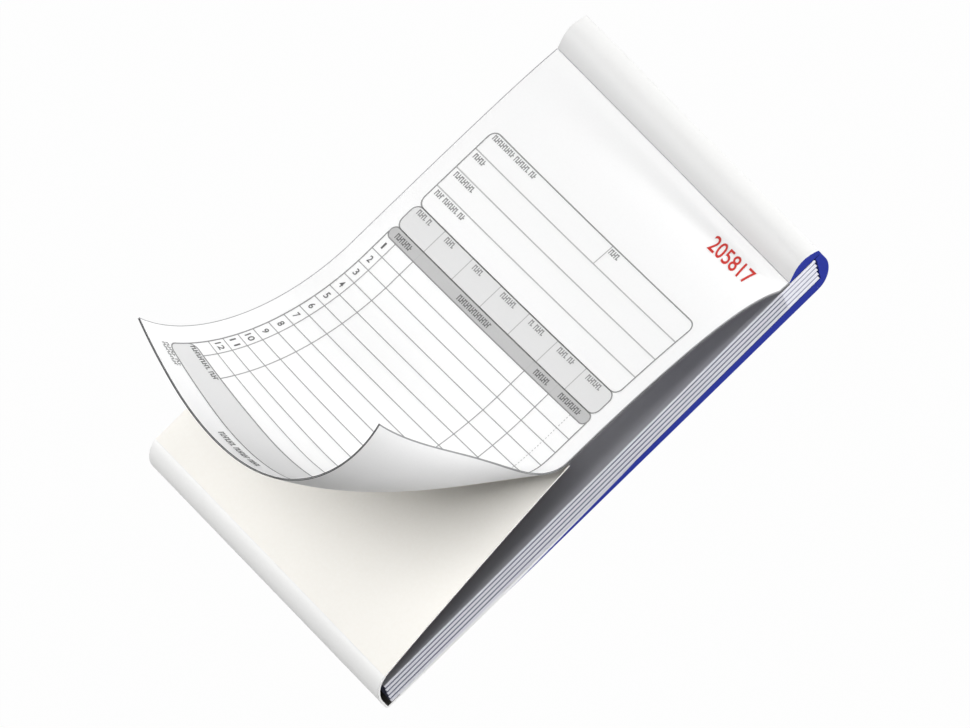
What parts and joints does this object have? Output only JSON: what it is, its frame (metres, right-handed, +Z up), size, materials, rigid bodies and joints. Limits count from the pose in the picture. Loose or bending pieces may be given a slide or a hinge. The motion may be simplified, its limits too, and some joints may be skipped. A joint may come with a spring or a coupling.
{
  "type": "carbonless sales book",
  "caption": "Bound pad of carbonless sales forms in a stiff wrap-around cover; a hinged flap tucks under the set in use, which lifts, turns at its tear line and curls at one corner.",
  "frame": {"origin": "under the middle of the book, on the face that it lies on", "axes": "+Y towards the bound end, +X towards the right-hand edge of the forms, +Z up"},
  "size_m": [0.1415, 0.223, 0.0939],
  "materials": {
    "white_carbonless_paper": "matte",
    "stacked_paper": "matte",
    "glued_stub": "matte",
    "white_cover_board": "satin",
    "blue_cover_board": "satin",
    "staple_wire": "bright"
  },
  "bodies": {
    "book": {"back_board": "blue_cover_board", "spine_cover": "blue_cover_board", "fold_wall": "white_cover_board", "set_01": "stacked_paper", "set_02": "stacked_paper", "set_03": "stacked_paper", "set_04": "stacked_paper", "set_05": "stacked_paper", "set_06": "stacked_paper", "set_07": "stacked_paper", "set_08": "stacked_paper", "set_09": "stacked_paper", "set_10": "stacked_paper", "set_11": "stacked_paper", "set_12": "stacked_paper", "set_13": "stacked_paper", "set_14": "stacked_paper", "set_15": "stacked_paper", "set_16": "stacked_paper", "set_17": "stacked_paper", "set_18": "stacked_paper", "set_19": "stacked_paper", "set_20": "stacked_paper", "set_21": "stacked_paper", "set_22": "stacked_paper", "set_23": "stacked_paper", "set_24": "stacked_paper", "set_25": "stacked_paper", "set_26": "stacked_paper", "set_27": "stacked_paper", "set_28": "stacked_paper", "set_29": "stacked_paper", "set_30": "stacked_paper", "set_31": "stacked_paper", "set_32": "stacked_paper", "set_33": "stacked_paper", "set_34": "stacked_paper", "set_35": "stacked_paper", "set_36": "stacked_paper", "set_37": "stacked_paper", "set_38": "stacked_paper", "set_39": "stacked_paper", "set_40": "stacked_paper", "set_41": "stacked_paper", "set_42": "stacked_paper", "set_43": "stacked_paper", "set_44": "stacked_paper", "set_45": "stacked_paper", "set_46": "stacked_paper", "set_47": "stacked_paper", "set_48": "stacked_paper", "bound_stubs": "glued_stub", "staple_left": "staple_wire", "staple_right": "staple_wire", "top_lip": "white_cover_board"},
    "flap": {"flap": "white_cover_board"},
    "margin": {"margin_original": "white_carbonless_paper", "margin_duplicate": "white_carbonless_paper"},
    "set_in_use": {"original_sheet": "white_carbonless_paper", "duplicate_sheet": "white_carbonless_paper"}
  },
  "joints": [
    {"name": "flap_swing", "type": "hinge", "parent": "book", "child": "flap", "pos_m": [0, -0.104, 0.016], "axis": [1, 0, 0], "range_deg": [0, 72]},
    {"name": "margin_lift", "type": "hinge", "parent": "book", "child": "margin", "pos_m": [0, 0.09521, 0.01555], "axis": [-1, 0, 0], "range_deg": [0, 80]},
    {"name": "set_turn", "type": "hinge", "parent": "margin", "child": "set_in_use", "pos_m": [0, 0.09158, 0.01594], "axis": [-1, 0, 0], "range_deg": [0, 45]}
  ],
  "couplings": [
    {"joint": "flap_swing", "follows": "margin_lift", "ratio": 0.9}
  ]
}
